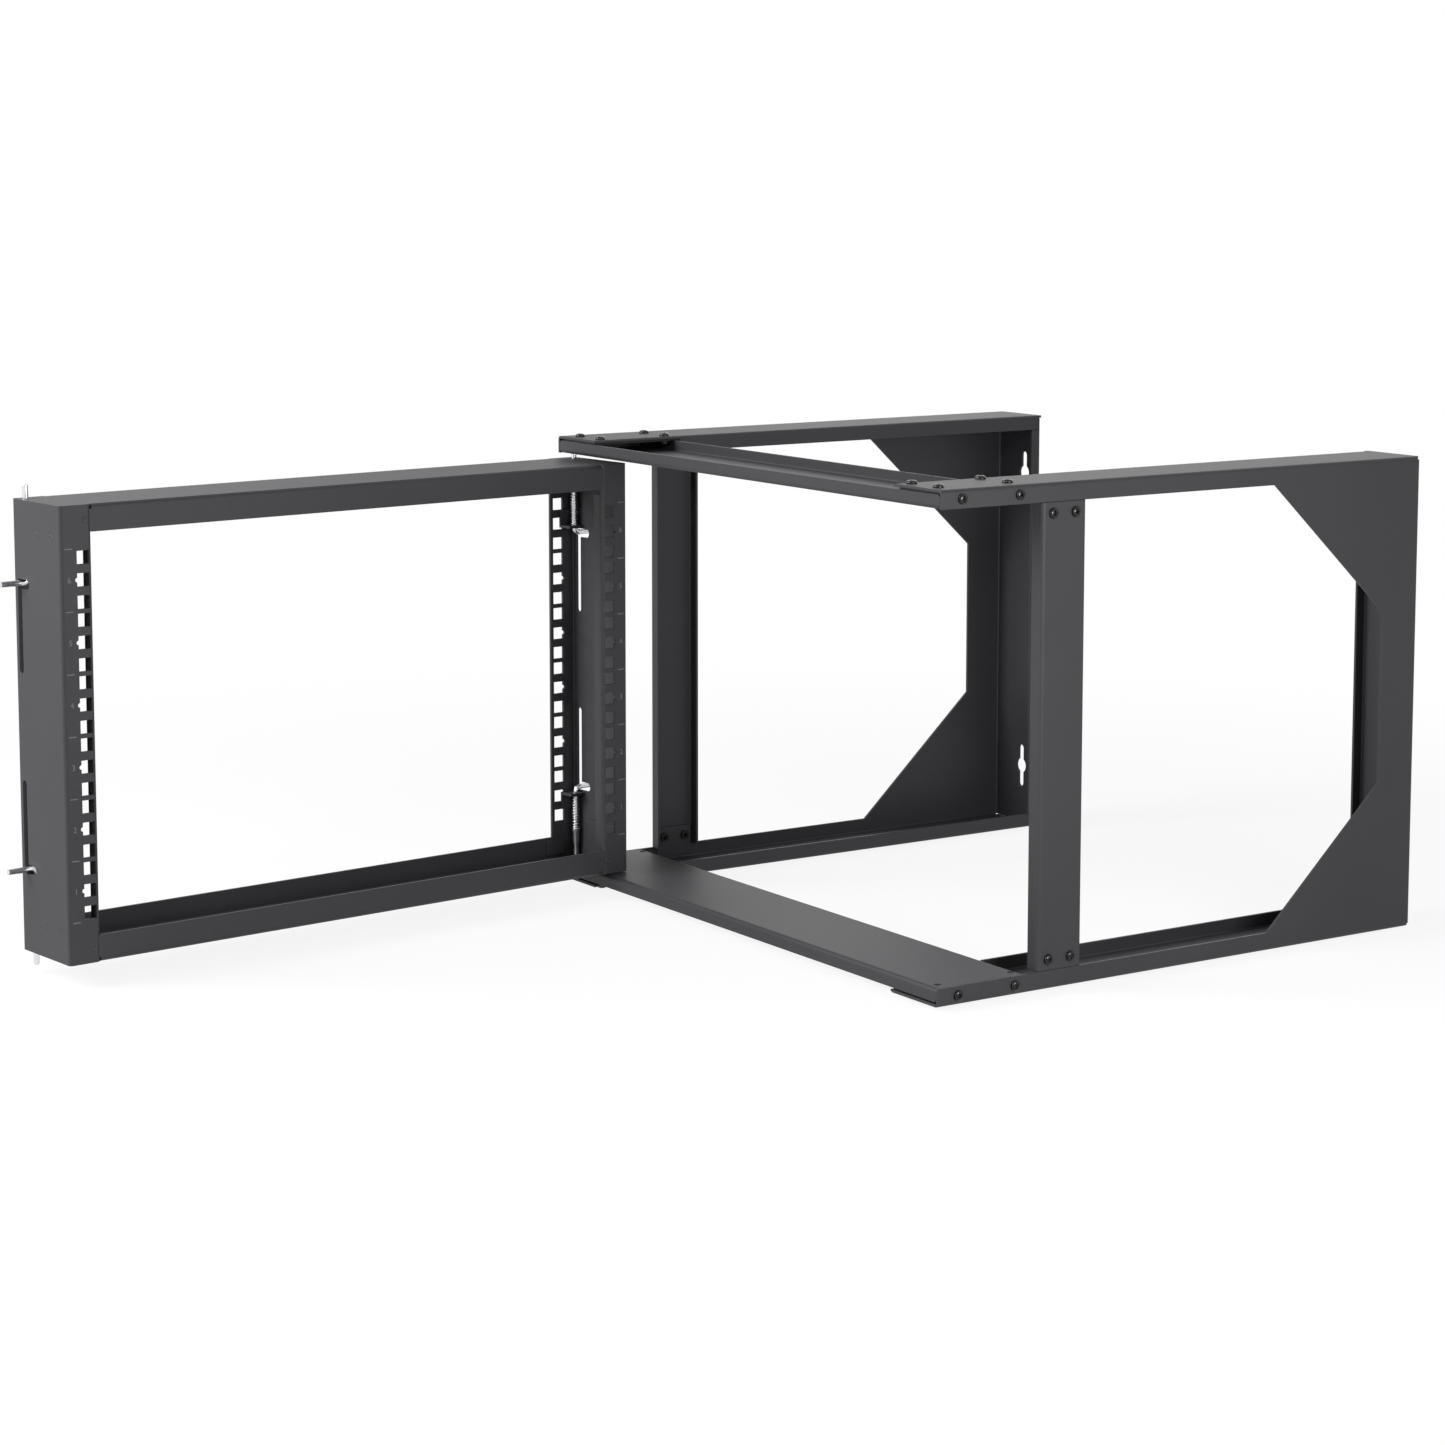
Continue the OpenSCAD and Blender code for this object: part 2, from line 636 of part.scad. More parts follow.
side_frame_left();
side_frame_right();
post_left();
post_right();
top_crossbar();
bottom_crossbar();
swing_upright_hinge();
swing_upright_free();
swing_top_rail();
swing_bottom_rail();
pin_hinge_top();
pin_hinge_bottom();
pin_free_top();
pin_free_bottom();
collar_hinge_top();
collar_hinge_bottom();
collar_free_top();
collar_free_bottom();
spring_hinge_top();
spring_hinge_bottom();
spring_free_top();
spring_free_bottom();
guide_hinge_top();
guide_hinge_bottom();
guide_free_top();
guide_free_bottom();
top_screws();
bottom_screws();
side_screws();
post_screws();
crossbar_nuts();
post_nuts();
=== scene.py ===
"""Looks of a wall mount open frame rack: coat, screws, springs, unit marks and a studio."""

import json
import math

import bmesh
import bpy
from bpy.props import FloatProperty, FloatVectorProperty, IntProperty, PointerProperty
from mathutils import Matrix, Vector


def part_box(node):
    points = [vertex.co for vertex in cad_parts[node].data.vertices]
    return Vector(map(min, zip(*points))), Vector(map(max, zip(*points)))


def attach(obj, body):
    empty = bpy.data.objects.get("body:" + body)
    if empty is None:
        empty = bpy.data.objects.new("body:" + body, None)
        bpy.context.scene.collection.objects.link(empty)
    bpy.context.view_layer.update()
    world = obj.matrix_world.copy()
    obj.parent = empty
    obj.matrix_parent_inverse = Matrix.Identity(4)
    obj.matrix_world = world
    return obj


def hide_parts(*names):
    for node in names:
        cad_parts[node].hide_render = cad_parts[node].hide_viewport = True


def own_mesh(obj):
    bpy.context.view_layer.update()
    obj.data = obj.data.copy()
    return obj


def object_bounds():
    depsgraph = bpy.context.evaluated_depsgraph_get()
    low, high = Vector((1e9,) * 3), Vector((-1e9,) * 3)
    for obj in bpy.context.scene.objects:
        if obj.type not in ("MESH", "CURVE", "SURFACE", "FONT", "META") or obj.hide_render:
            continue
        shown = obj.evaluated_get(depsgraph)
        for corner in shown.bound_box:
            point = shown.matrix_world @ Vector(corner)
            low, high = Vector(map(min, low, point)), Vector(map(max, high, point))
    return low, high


bl_info = {
    "name": "Open frame rack looks",
    "version": (1, 0, 0),
    "blender": (4, 5, 0),
    "location": "3D View > Sidebar > Rack",
    "description": "Finishes a wall mount open frame rack and its spring pins",
    "category": "Object",
}

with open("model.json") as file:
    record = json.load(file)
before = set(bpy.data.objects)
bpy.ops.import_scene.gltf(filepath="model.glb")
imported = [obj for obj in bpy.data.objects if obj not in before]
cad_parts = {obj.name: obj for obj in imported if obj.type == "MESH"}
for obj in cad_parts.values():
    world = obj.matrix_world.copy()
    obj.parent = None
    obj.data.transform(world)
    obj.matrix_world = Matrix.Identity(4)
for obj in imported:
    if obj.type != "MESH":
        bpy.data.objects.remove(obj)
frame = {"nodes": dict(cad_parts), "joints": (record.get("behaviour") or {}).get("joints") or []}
CAD_BOX = [list(corner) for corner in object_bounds()]

SHEETS = [
    "side_frame_left", "side_frame_right", "post_left", "post_right", "top_crossbar",
    "bottom_crossbar", "swing_upright_hinge", "swing_upright_free", "swing_top_rail",
    "swing_bottom_rail", "guide_hinge_top", "guide_hinge_bottom", "guide_free_top",
    "guide_free_bottom",
]
CORNERS = ["hinge_top", "hinge_bottom", "free_top", "free_bottom"]
SCREW_NODES = ["top_screws", "bottom_screws", "side_screws", "post_screws"]
NUT_NODES = ["crossbar_nuts", "post_nuts"]

UNITS = 6
UNIT_HEIGHT = 0.04445       # one rack unit, in metres
SAME_POINT = 1e-6           # corners nearer than this are one corner
PRINT_LIFT = 0.00006        # print and ground seams stand this far off the sheet
SINK = -0.00002             # the rims of seams and weld marks lie this deep in it
OBJECT_PLACE = 3            # output of Texture Coordinate that gives the piece's own metres

# Stretches of the grain that the finishes share, each as (detail, roughness)
GRAIN = (3.0, 0.6)
SMOOTH_GRAIN = (2.0, 0.5)

# Where each lamp stands and how wide its disk is, in metres
LAMPS = {
    "key": ((-0.6, -2.2, 1.1), 1.4),
    "side": ((1.1, -0.35, 0.2), 0.42),
    "back": ((-1.95, 1.45, 0.58), 1.5),
    "left": ((-2.4, -0.1, 0.5), 0.9),
    "spark": ((1.3, -2.7, 0.9), 0.35),
}
FLOOR_HALF = 9              # half the floor's width, in metres
FLOOR_FADE = (0.5, 1.5)     # the floor's shade ends between these distances, in metres
FLOOR_SHADE = 0.88          # share of white in the floor close to the rack
WHITE_RAYS = ["Is Camera Ray", "Is Glossy Ray", "Is Transmission Ray"]

# The camera, as fitted to the rack's corners
EYE = (2.0817, -1.8330, 0.4172)
EYE_YAW = math.radians(33.402)
EYE_PITCH = math.radians(6.916)
EYE_SHIFT = -0.12
SENSOR = 36


# Sizes and colours

class RackFinish(bpy.types.PropertyGroup):
    """Colours and grain of the rack's finishes"""

    coat_color: FloatVectorProperty(
        name="Coat colour", description="Colour of the powder coat", subtype="COLOR",
        size=3, min=0, max=1, default=(0.018, 0.0181, 0.0208))
    coat_light: FloatVectorProperty(
        name="Coat fleck colour", description="Colour of the lighter grains in the coat",
        subtype="COLOR", size=3, min=0, max=1, default=(0.027, 0.0272, 0.031))
    coat_roughness: FloatProperty(
        name="Coat roughness", description="Roughness of the powder coat",
        subtype="FACTOR", min=0, max=1, default=0.52)
    grain_scale: FloatProperty(
        name="Grain count", description="Grains of the powder coat in a metre",
        min=50, max=4000, default=900)
    grain_depth: FloatProperty(
        name="Grain depth", description="Height of the coat's grain", unit="LENGTH",
        min=0, max=0.001, default=0.00008)
    edge_round: FloatProperty(
        name="Edge rounding", description="How far the coat rounds each sheet edge",
        unit="LENGTH", min=0, max=0.002, default=0.0006)
    zinc_color: FloatVectorProperty(
        name="Zinc colour", description="Colour of pins and collars", subtype="COLOR",
        size=3, min=0, max=1, default=(0.82, 0.83, 0.85))
    screw_color: FloatVectorProperty(
        name="Screw colour", description="Colour of the black screws", subtype="COLOR",
        size=3, min=0, max=1, default=(0.004, 0.004, 0.0045))
    nut_color: FloatVectorProperty(
        name="Nut colour", description="Colour of the nuts behind the sheets",
        subtype="COLOR", size=3, min=0, max=1, default=(0.012, 0.012, 0.013))
    print_color: FloatVectorProperty(
        name="Print colour", description="Colour of the unit marks", subtype="COLOR",
        size=3, min=0, max=1, default=(0.16, 0.16, 0.17))


class RackSizes(bpy.types.PropertyGroup):
    """Sizes of the small parts that are finished here"""

    head_height: FloatProperty(
        name="Head height", description="Height of a pan head", unit="LENGTH",
        min=0.001, max=0.004, default=0.0026)
    head_radius: FloatProperty(
        name="Head radius", description="Radius of a pan head", unit="LENGTH",
        min=0.003, max=0.006, default=0.0039)
    shaft_radius: FloatProperty(
        name="Shaft radius", description="Radius of a screw's shaft", unit="LENGTH",
        min=0.001, max=0.003, default=0.00195)
    shaft_length: FloatProperty(
        name="Shaft length", description="Length of a screw's shaft", unit="LENGTH",
        min=0.003, max=0.012, default=0.0065)
    recess_depth: FloatProperty(
        name="Recess depth", description="Depth of the cross recess", unit="LENGTH",
        min=0.0005, max=0.0025, default=0.0015)
    wire: FloatProperty(
        name="Spring wire", description="Thickness of the spring wire", unit="LENGTH",
        min=0.0006, max=0.0016, default=0.0008)
    turns: IntProperty(
        name="Spring turns", description="Turns of a pin spring", min=5, max=20, default=13)
    mark_height: FloatProperty(
        name="Unit mark height", description="Height of a unit number", unit="LENGTH",
        min=0.002, max=0.008, default=0.0042)
    mark_line: FloatProperty(
        name="Unit line length", description="Length of a unit line", unit="LENGTH",
        min=0.002, max=0.012, default=0.006)
    open_angle: FloatProperty(
        name="Open angle", description="How far the equipment frame stands open",
        subtype="ANGLE", default=math.radians(84))


class RackStudio(bpy.types.PropertyGroup):
    """Light, floor and camera"""

    floor_color: FloatVectorProperty(
        name="Floor colour", description="Colour of the floor", subtype="COLOR",
        size=3, min=0, max=1, default=(0.86, 0.86, 0.86))
    ambient: FloatProperty(
        name="Ambient level", description="Even light from all sides", min=0, max=2,
        default=0.16)
    key_power: FloatProperty(
        name="Key light", description="Power of the soft light at the front left",
        unit="POWER", min=0, max=500, default=68)
    side_power: FloatProperty(
        name="Side light", description="Power of the soft light at the right",
        unit="POWER", min=0, max=500, default=7.5)
    back_power: FloatProperty(
        name="Back light", description="Power of the low soft light behind the rack",
        unit="POWER", min=0, max=500, default=5)
    left_power: FloatProperty(
        name="Left light", description="Power of the low soft light at the left",
        unit="POWER", min=0, max=500, default=1)
    spark_power: FloatProperty(
        name="Spark light", description="Power of the small light that glints on screws",
        unit="POWER", min=0, max=500, default=12)
    focal: FloatProperty(
        name="Focal length", description="Focal length in millimetres", min=20, max=200,
        default=84.4)


# Node wiring for the finishes

class Wire:
    """A socket in a finish; sums and products of wires become Math nodes."""

    def __init__(self, finish, socket):
        self.finish = finish
        self.socket = socket

    def __add__(self, other):
        return self.finish.maths("ADD", self, other)

    __radd__ = __add__

    def __sub__(self, other):
        return self.finish.maths("SUBTRACT", self, other)

    def __rsub__(self, other):
        return self.finish.maths("SUBTRACT", other, self)

    def __mul__(self, other):
        return self.finish.maths("MULTIPLY", self, other)

    __rmul__ = __mul__

    def most(self, other):
        """The larger of two wires."""
        return self.finish.maths("MAXIMUM", self, other)


class Finish:
    """One material with its Principled shader and the nodes that feed it."""

    def __init__(self, name, tree=None):
        if tree is None:
            self.material = bpy.data.materials.new(name)
            self.material.use_nodes = True
            tree = self.material.node_tree
        self.tree = tree
        self.tree.nodes.clear()

    def node(self, kind, settings=None, sockets=None, out=0):
        """A node with its settings, then the values or wires of its sockets."""
        made = self.tree.nodes.new(kind)
        for key, value in (settings or {}).items():
            if key == "stops":
                ramp = made.color_ramp
                while len(ramp.elements) < len(value):
                    ramp.elements.new(1.0)
                for stop, (place, tone) in zip(ramp.elements, value):
                    stop.position = place
                    stop.color = (tone, tone, tone, 1)
            else:
                setattr(made, key, value)
        for key, value in (sockets or {}).items():
            if isinstance(value, Wire):
                self.tree.links.new(value.socket, made.inputs[key])
            else:
                made.inputs[key].default_value = value
        return Wire(self, made.outputs[out]) if len(made.outputs) else made

    def maths(self, operation, a, b):
        return self.node("ShaderNodeMath", {"operation": operation}, {0: a, 1: b})

    def place(self):
        """Points of the piece in metres, which stay with it when it moves."""
        return self.node("ShaderNodeTexCoord", out=OBJECT_PLACE)

    def noise(self, place, scale, detail=2.0, roughness=0.5):
        return self.node("ShaderNodeTexNoise", None, {
            "Vector": place, "Scale": scale, "Detail": detail, "Roughness": roughness})

    def bump(self, height, strength, distance, **more):
        return self.node("ShaderNodeBump", None, {
            "Strength": strength, "Distance": distance, "Height": height, **more})

    def blend(self, share, first, second):
        """A mix of two colours."""
        return self.node("ShaderNodeMix", {"data_type": "RGBA"}, {
            0: share, 6: tuple(first) + (1,), 7: tuple(second) + (1,)}, out=2)

    def white_rays(self):
        """1 for rays that show the white surround, and 0 for rays that light the rack."""
        outs = self.node("ShaderNodeLightPath").socket.node.outputs
        camera, glossy, through = [Wire(self, outs[kind]) for kind in WHITE_RAYS]
        return camera.most(glossy).most(through)

    def surface(self, sockets):
        shader = self.node("ShaderNodeBsdfPrincipled", None, sockets)
        self.node("ShaderNodeOutputMaterial", None, {"Surface": shader})
        return self.material


def shade_of(color, share):
    """A colour times a share, at most white."""
    return tuple(min(1.0, c * share) for c in color)


def coat(name, finish_set, pressed):
    """Fine textured black coat; pressed sheet adds orange peel and soft edges to the grain."""
    f = Finish(name)
    place = f.place()
    count = finish_set.grain_scale
    grain = f.noise(place, count, *GRAIN)
    cloud = f.noise(place, 7.0, 4.0, 0.55)
    fleck = f.noise(place, count * 2.1, 1.0, 0.5)
    if pressed:
        peel = f.noise(place, count * 0.24, 2.0, 0.45)
        edge = f.node("ShaderNodeBevel", {"samples": 4}, {"Radius": finish_set.edge_round})
        bump = f.bump(grain * 0.7 + peel * 0.6, 0.55, finish_set.grain_depth, Normal=edge)
    else:
        bump = f.bump(grain, 0.55, finish_set.grain_depth)
    tone = f.node("ShaderNodeValToRGB", {"stops": [(0.36, 0.0), (0.66, 1.0)]},
                  {"Fac": fleck * 0.6 + cloud * 0.4})
    return f.surface({
        "Base Color": f.blend(tone, finish_set.coat_color, finish_set.coat_light),
        "Roughness": finish_set.coat_roughness - 0.06 + grain * 0.08 + cloud * 0.04,
        "Specular IOR Level": 0.34,
        "Normal": bump,
    })


def grained_coat(finish_set):
    """The coat of the folded sheets."""
    return coat("grained_coat", finish_set, pressed=True)


def ground_seam(finish_set):
    """The coat over a ground weld, flat up to its rim."""
    return coat("ground_seam", finish_set, pressed=False)


def bright_zinc(finish_set):
    """Bright zinc with fine drawing lines along the rod."""
    f = Finish("bright_zinc")
    place = f.place()
    drawn = f.node("ShaderNodeMapping", None, {"Vector": place, "Scale": (1, 1, 0.05)})
    lines = f.noise(drawn, 2600, 2.0, 0.6)
    bloom = f.noise(place, 160, 3.0, 0.5)
    bump = f.bump(lines, 0.3, 0.00003)
    dark = shade_of(finish_set.zinc_color, 0.78)
    return f.surface({
        "Base Color": f.blend(bloom * 0.6 + lines * 0.4, dark, finish_set.zinc_color),
        "Metallic": 1.0,
        "Roughness": 0.14 + bloom * 0.12 + lines * 0.08,
        "Normal": bump,
    })


def drawn_wire(finish_set):
    """Bright drawn spring wire."""
    f = Finish("drawn_wire")
    place = f.place()
    film = f.noise(place, 420, *SMOOTH_GRAIN)
    bump = f.bump(film, 0.2, 0.00002)
    dark = shade_of(finish_set.zinc_color, 0.7)
    return f.surface({
        "Base Color": f.blend(film, dark, finish_set.zinc_color),
        "Metallic": 1.0,
        "Roughness": 0.18 + film * 0.16,
        "Normal": bump,
    })


def screw_plating(finish_set):
    """Glossy black plated screws."""
    f = Finish("screw_plating")
    place = f.place()
    plate = f.noise(place, 900, *SMOOTH_GRAIN)
    bump = f.bump(plate, 0.15, 0.00003)
    worn = shade_of(finish_set.screw_color, 1.8)
    return f.surface({
        "Base Color": f.blend(plate, finish_set.screw_color, worn),
        "Specular IOR Level": 0.32,
        "Roughness": 0.05 + plate * 0.05,
        "Normal": bump,
    })


def nut_plating(finish_set):
    """Dark plating on the nuts behind the sheets."""
    f = Finish("nut_plating")
    place = f.place()
    spots = f.noise(place, 700, *GRAIN)
    bump = f.bump(spots, 0.3, 0.00005)
    dull = shade_of(finish_set.nut_color, 0.6)
    return f.surface({
        "Base Color": f.blend(spots, dull, finish_set.nut_color),
        "Specular IOR Level": 0.25,
        "Roughness": 0.3 + spots * 0.2,
        "Normal": bump,
    })


def unit_print(finish_set):
    """Thin grey print of the unit marks, a little worn by the grain."""
    f = Finish("unit_print")
    place = f.place()
    grain = f.noise(place, finish_set.grain_scale, *SMOOTH_GRAIN)
    thin = shade_of(finish_set.print_color, 0.6)
    return f.surface({
        "Base Color": f.blend(grain, thin, finish_set.print_color),
        "Roughness": 0.5 + grain * 0.2,
    })


# Mesh tools

def clad(piece, material):
    """The piece takes one finish all over."""
    piece.data.materials.clear()
    piece.data.materials.append(material)


def finish_from(maker, context):
    """The finish that bears its maker function's name, made when it's first needed."""
    found = bpy.data.materials.get(maker.__name__)
    return maker(context.scene.rack_finish) if found is None else found


def joint_named(name):
    """The frame's joint of this name."""
    return next(joint for joint in frame["joints"] if joint["name"] == name)


def corners_of(points):
    """Lowest and highest corner of the box round some points."""
    return (Vector([min(p[i] for p in points) for i in range(3)]),
            Vector([max(p[i] for p in points) for i in range(3)]))


def piece_from(name, build, smooth):
    """A new piece whose mesh is filled by build; edges under smooth degrees shade softly."""
    mesh = bpy.data.meshes.new(name)
    bm = bmesh.new()
    build(bm)
    bmesh.ops.recalc_face_normals(bm, faces=bm.faces)
    bm.to_mesh(mesh)
    bm.free()
    piece = bpy.data.objects.new(name, mesh)
    bpy.context.scene.collection.objects.link(piece)
    if smooth:
        mesh.shade_smooth()
        mesh.set_sharp_from_angle(angle=math.radians(smooth))
    return piece


def turned(bm, outline, count, place):
    """Revolves an outline of (radius, height) points about the local Z axis."""
    rings = []
    for radius, height in outline:
        if radius == 0:
            rings.append([bm.verts.new(place @ Vector((0, 0, height)))])
        else:
            rings.append([bm.verts.new(place @ Vector((
                radius * math.cos(2 * math.pi * k / count),
                radius * math.sin(2 * math.pi * k / count), height))) for k in range(count)])
    for low, high in zip(rings, rings[1:]):
        for k in range(count):
            corners = [low[k % len(low)], low[(k + 1) % len(low)],
                       high[(k + 1) % len(high)], high[k % len(high)]]
            kept = list(dict.fromkeys(corners))
            if len(kept) > 2:
                bm.faces.new(kept)


def islands(node):
    """Boxes of the separate solids in a CAD node, as (low corner, high corner)."""
    bm = bmesh.new()
    bm.from_mesh(frame["nodes"][node].data)
    bmesh.ops.remove_doubles(bm, verts=bm.verts, dist=SAME_POINT)
    left = set(bm.verts)
    boxes = []
    while left:
        queue = [left.pop()]
        group = []
        while queue:
            v = queue.pop()
            group.append(v.co.copy())
            for e in v.link_edges:
                w = e.other_vert(v)
                if w in left:
                    left.remove(w)
                    queue.append(w)
        boxes.append(corners_of(group))
    bm.free()
    return sorted(boxes, key=lambda b: tuple(round(x, 4) for x in b[0]))


def screw_places(node, head_height):
    """A matrix for each screw of a node: local Z leaves the head."""
    places = []
    for low, high in islands(node):
        mid = (low + high) / 2
        if node in ("top_screws", "bottom_screws"):
            up = node == "top_screws"
            seat = high.z - head_height if up else low.z + head_height
            point = Vector((mid.x, mid.y, seat))
            out = Vector((0, 0, 1 if up else -1))
        else:
            right = mid.x > 0
            seat = high.x - head_height if right else low.x + head_height
            point = Vector((seat, mid.y, mid.z))
            out = Vector((1 if right else -1, 0, 0))
        turn = out.to_track_quat("Z", "Y").to_matrix().to_4x4()
        places.append(Matrix.Translation(point) @ turn)
    return places


def applied(piece):
    """Bakes the modifiers of a piece into its mesh."""
    graph = bpy.context.evaluated_depsgraph_get()
    graph.update()
    mesh = bpy.data.meshes.new_from_object(piece.evaluated_get(graph))
    piece.modifiers.clear()
    piece.data = mesh
    return piece


def screw_pattern(sizes):
    """The mesh of one pan head screw with a tapered cross recess."""
    r, h = sizes.head_radius, sizes.head_height
    neck, deep = sizes.shaft_radius, sizes.shaft_length
    point, lead, rim = 0.0004, 0.0005, 0.0002
    side, crown, steps = 0.3, 0.62, 8
    outline = [(0, -deep), (neck - point, -deep), (neck, lead - deep), (neck, 0),
               (r - rim, 0), (r, rim), (r, h * side)]
    for k in range(1, steps + 1):
        a = 0.5 * math.pi * k / steps
        outline.append((r * math.cos(a) ** crown if k < steps else 0,
                        h * (side + (1 - side) * math.sin(a))))
    head = piece_from("screw_pattern", lambda bm: turned(bm, outline, 40, Matrix()), 32)

    def wings(bm):
        # Half length and half width of a wing at the bottom and the top of the recess
        floor, mouth, above, apart = (0.2, 0.07), (0.72, 0.13), 0.0006, 1e-5
        for turn in (0, math.pi / 2):
            spot = Matrix.Rotation(turn, 4, "Z")
            low, top = h - sizes.recess_depth - turn * apart, h + above + turn * apart
            a, b = [[bm.verts.new(spot @ Vector((x * r * reach[0], y * r * reach[1], z)))
                     for x, y in ((-1, -1), (1, -1), (1, 1), (-1, 1))]
                    for reach, z in ((floor, low), (mouth, top))]
            bm.faces.new(a[::-1])
            bm.faces.new(b)
            for k in range(4):
                bm.faces.new((a[k], a[(k + 1) % 4], b[(k + 1) % 4], b[k]))

    cutter = piece_from("recess_pattern", wings, smooth=0)
    cut = head.modifiers.new("recess", "BOOLEAN")
    cut.operation = "DIFFERENCE"
    cut.solver = "EXACT"
    cut.use_self = True
    cut.object = cutter
    applied(head)
    head.data.shade_smooth()
    head.data.set_sharp_from_angle(angle=math.radians(32))
    mesh = head.data
    bpy.data.objects.remove(head)
    bpy.data.objects.remove(cutter)
    return mesh


def swing_place():
    """The equipment frame's own axes at rest: u along it, v across it, from the hinge axis."""
    spot = Vector(joint_named("swing_hinge")["pos_m"])
    spot.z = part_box("swing_upright_hinge")[0].z
    angle = bpy.context.scene.rack_sizes.open_angle
    return Matrix.Translation(spot) @ Matrix.Rotation(-angle, 4, "Z")


def in_swing(*names):
    """Lowest and highest corner of some nodes in the equipment frame's own axes."""
    back = swing_place().inverted()
    return corners_of([back @ v.co for name in names for v in frame["nodes"][name].data.vertices])


# Operators, one for each piece or group

class RackCoatSheets(bpy.types.Operator):
    """Gives the folded sheets and the pin guides their powder coat"""

    bl_idname = "rack.coat_sheets"
    bl_label = "Coat the sheets"

    def execute(self, context):
        coat = finish_from(grained_coat, context)
        for name in SHEETS:
            clad(frame["nodes"][name], coat)
        return {"FINISHED"}


class RackPlatePins(bpy.types.Operator):
    """Gives the bent pins and their collars a bright zinc finish"""

    bl_idname = "rack.plate_pins"
    bl_label = "Plate the pins"

    def execute(self, context):
        zinc = finish_from(bright_zinc, context)
        for corner in CORNERS:
            clad(frame["nodes"]["pin_" + corner], zinc)
            clad(frame["nodes"]["collar_" + corner], zinc)
        return {"FINISHED"}


class RackWindSprings(bpy.types.Operator):
    """Winds the four pin springs in round wire with closed ends"""

    bl_idname = "rack.wind_springs"
    bl_label = "Wind the springs"

    seat = 0.0002           # how far each end reaches into its seat, in metres
    steps_in_turn = 28
    wire_sides = 10
    ground_share = 0.85     # thickness of the wire where the ends are ground
    ground_turns = 0.2

    def execute(self, context):
        sizes = context.scene.rack_sizes
        wire = finish_from(drawn_wire, context)
        for corner in CORNERS:
            low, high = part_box("spring_" + corner)
            axis = (low + high) / 2
            coil = (min(high.x - low.x, high.y - low.y) - sizes.wire) / 2
            seat = Vector((0, 0, self.seat))
            low, high = low - seat, high + seat
            spring = piece_from("fine_spring_" + corner, self.helix(
                axis.x, axis.y, low.z, high.z, coil, sizes.wire / 2, sizes.turns), smooth=60)
            clad(spring, wire)
            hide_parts("spring_" + corner)
            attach(spring, "swing_frame")
            slide = joint_named(corner + "_pin_slide")
            length = high.z - low.z
            (length - self.travel(slide)) / length
            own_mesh(spring)
        return {"FINISHED"}

    def travel(self, slide):
        """How far a pin slides, in metres."""
        return max(abs(limit) for limit in slide["range_m"])

    def helix(self, x, y, z0, z1, coil, wire, turns):
        """A builder of round wire that climbs from z0 to z1 and lies flat at both ends."""
        def build(bm):
            last = None
            for i in range(self.steps_in_turn * turns + 1):
                t = i / self.steps_in_turn
                low_end, high_end = min(t, 1.0), max(0.0, t - turns + 1.0)
                rise = (t - 0.5 * (low_end + high_end)) / (turns - 1.0)
                z = z0 + wire + (z1 - z0 - 2 * wire) * max(0.0, min(1.0, rise))
                ground = min(t, turns - t) < self.ground_turns
                tall = wire * (self.ground_share if ground else 1)
                a = 2 * math.pi * t
                out = Vector((math.cos(a), math.sin(a), 0))
                mid = Vector((x, y, z)) + out * coil
                ring = []
                for k in range(self.wire_sides):
                    q = 2 * math.pi * k / self.wire_sides
                    lift = Vector((0, 0, math.sin(q) * tall))
                    ring.append(bm.verts.new(mid + out * wire * math.cos(q) + lift))
                if last:
                    for k, corner in enumerate(last):
                        after = (k + 1) % self.wire_sides
                        bm.faces.new((corner, last[after], ring[after], ring[k]))
                else:
                    bm.faces.new(ring[::-1])
                last = ring
            bm.faces.new(last)
        return build


class RackTurnScrews(bpy.types.Operator):
    """Sets a domed pan head screw with a cross recess at each screw place"""

    bl_idname = "rack.turn_screws"
    bl_label = "Turn the screws"

    def execute(self, context):
        sizes = context.scene.rack_sizes
        black = finish_from(screw_plating, context)
        pattern = screw_pattern(sizes)
        for node in SCREW_NODES:
            def build(bm, node=node):
                for k, place in enumerate(screw_places(node, sizes.head_height)):
                    turn = Matrix.Rotation(0.9 * k + 0.35, 4, "Z")
                    start = len(bm.verts)
                    bm.from_mesh(pattern)
                    bm.verts.ensure_lookup_table()
                    for v in bm.verts[start:]:
                        v.co = place @ turn @ v.co
            screws = piece_from("fine_" + node, build, smooth=32)
            clad(screws, black)
            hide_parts(node)
            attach(screws, "base")
        bpy.data.meshes.remove(pattern)
        return {"FINISHED"}


class RackPlateNuts(bpy.types.Operator):
    """Gives the nuts behind the sheets a dark plated finish"""

    bl_idname = "rack.plate_nuts"
    bl_label = "Plate the nuts"

    def execute(self, context):
        steel = finish_from(nut_plating, context)
        for name in NUT_NODES:
            clad(frame["nodes"][name], steel)
        return {"FINISHED"}


